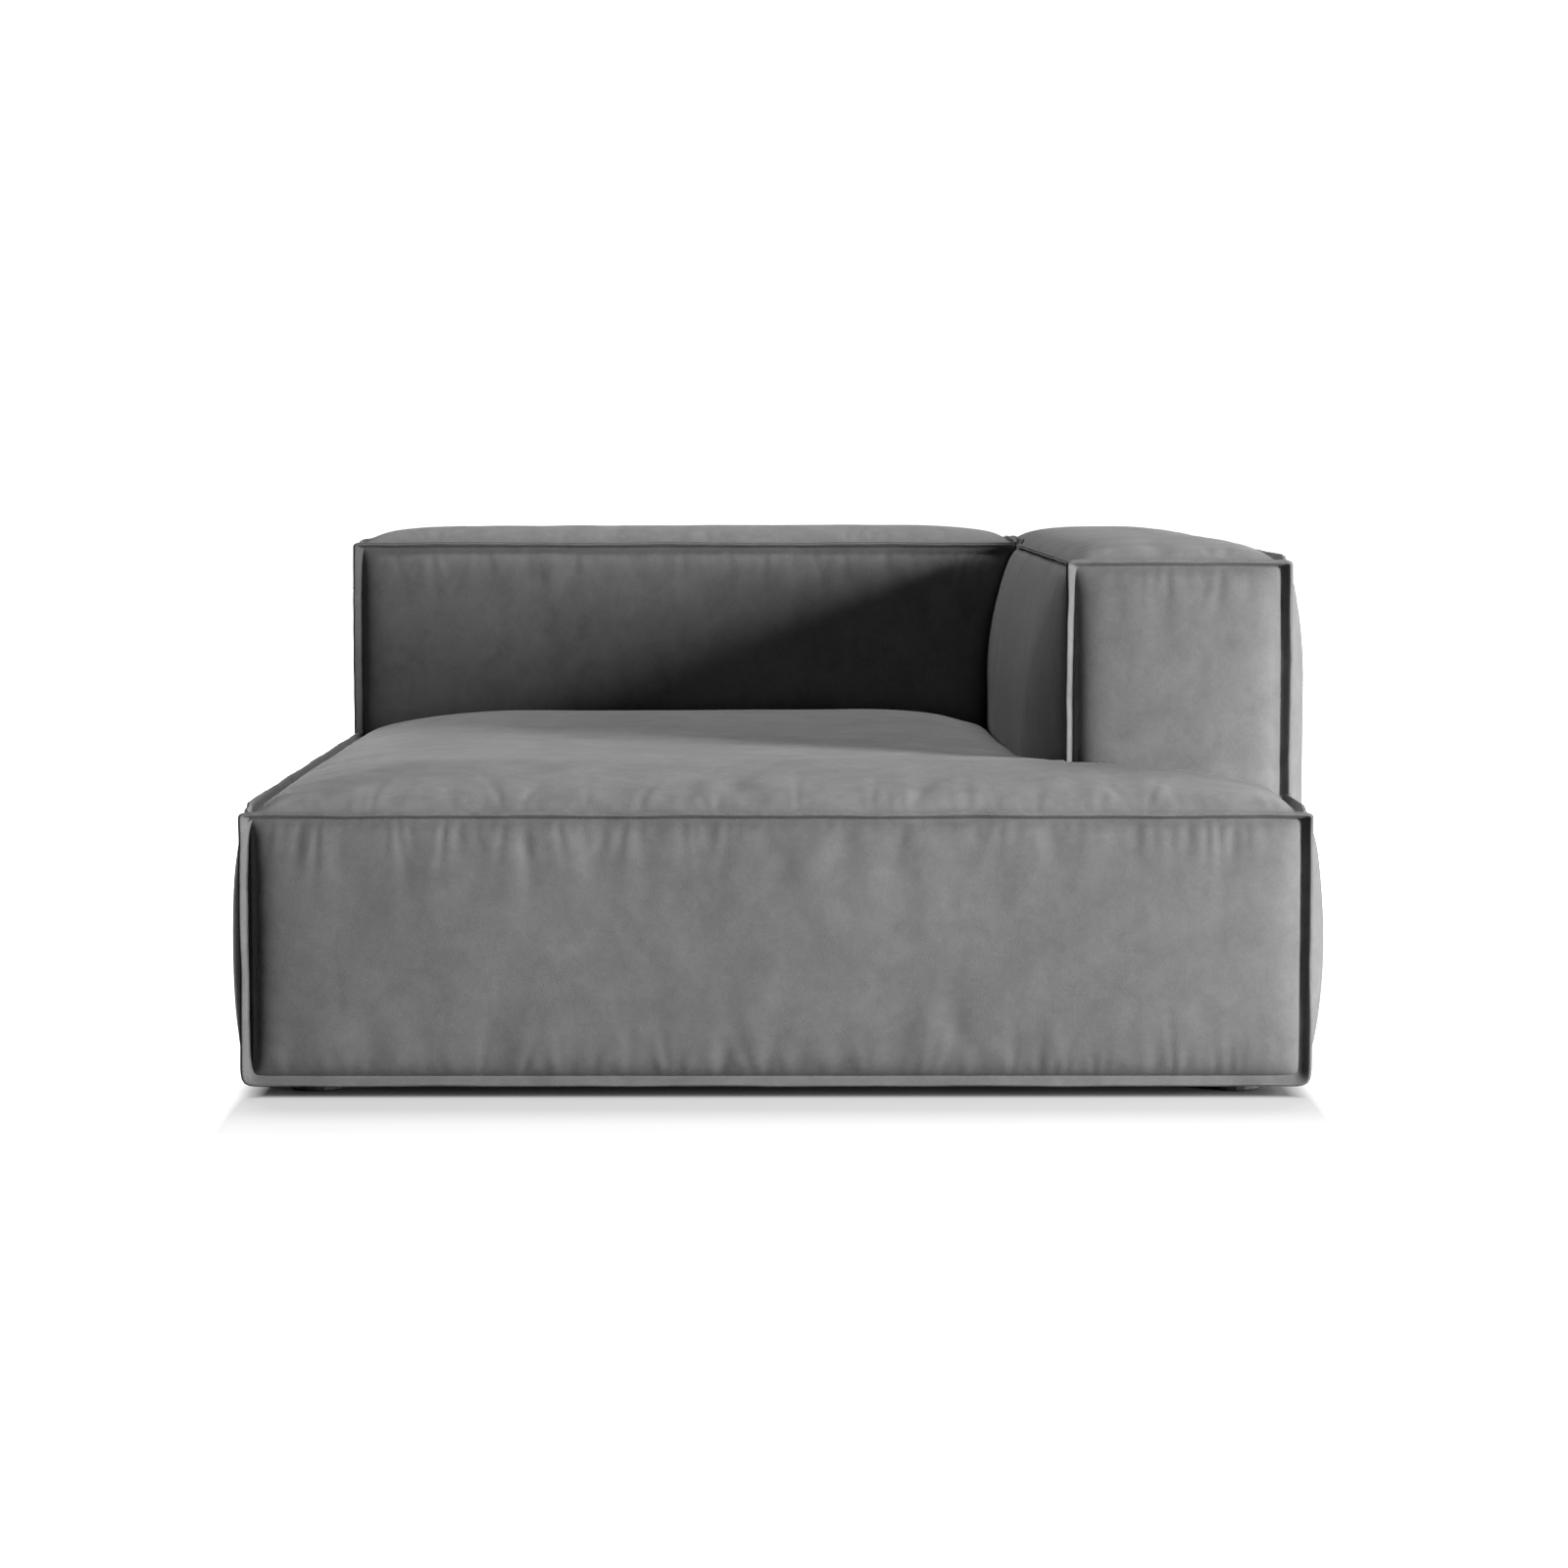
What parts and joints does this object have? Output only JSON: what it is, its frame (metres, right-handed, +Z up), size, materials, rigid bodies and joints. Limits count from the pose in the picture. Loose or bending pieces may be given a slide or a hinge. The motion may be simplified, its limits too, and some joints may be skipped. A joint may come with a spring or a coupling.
{
  "type": "upholstered daybed",
  "caption": "Low upholstered daybed in plain grey velvet: deep seat block, low back at the rear and one arm at the side, with raised flanged seams.",
  "frame": {"origin": "on the floor, under the centre of the daybed's box", "axes": "+Z up, the front faces -Y, and the arm is on the +X side"},
  "size_m": [1.374, 1.732, 0.687],
  "materials": {
    "velvet": "matte",
    "foam": "matte",
    "topper": "matte",
    "pine": "matte",
    "plywood": "matte",
    "webbing": "matte",
    "dust_cloth": "matte",
    "glide": "satin",
    "steel": "satin"
  },
  "bodies": {
    "root": {"front_left_glide": "glide", "middle_left_glide": "glide", "rear_left_glide": "glide", "front_right_glide": "glide", "middle_right_glide": "glide", "rear_right_glide": "glide", "front_arm_bolt": "steel", "rear_arm_bolt": "steel", "left_back_bolt": "steel", "right_back_bolt": "steel", "seat_front_rail": "pine", "seat_left_rail": "pine", "seat_rear_rail": "pine", "seat_arm_side_rail": "pine", "seat_return_rear_rail": "pine", "seat_return_end_rail": "pine", "seat_front_cross_rail": "pine", "seat_rear_cross_rail": "pine", "seat_left_corner_block": "pine", "seat_right_corner_block": "pine", "seat_middle_foot_block": "pine", "cross_webbing_1": "webbing", "cross_webbing_2": "webbing", "cross_webbing_3": "webbing", "cross_webbing_4": "webbing", "cross_webbing_5": "webbing", "long_webbing_1": "webbing", "long_webbing_2": "webbing", "long_webbing_3": "webbing", "return_webbing": "webbing", "seat_foam_core": "foam", "seat_return_foam": "foam", "seat_topper": "topper", "seat_front_pad": "foam", "seat_left_pad": "foam", "seat_return_pad": "foam", "seat_cover": "velvet", "seat_dust_cloth": "dust_cloth", "back_cover": "velvet", "back_foam_jacket": "foam", "back_dust_cloth": "dust_cloth", "back_front_board": "plywood", "back_rear_board": "plywood", "back_bottom_rail": "pine", "back_top_rail": "pine", "back_left_post": "pine", "back_right_post": "pine", "arm_cover": "velvet", "arm_foam_jacket": "foam", "arm_dust_cloth": "dust_cloth", "arm_inner_board": "plywood", "arm_outer_board": "plywood", "arm_bottom_rail": "pine", "arm_top_rail": "pine", "arm_front_post": "pine", "arm_middle_post": "pine", "arm_rear_post": "pine"}
  },
  "joints": []
}
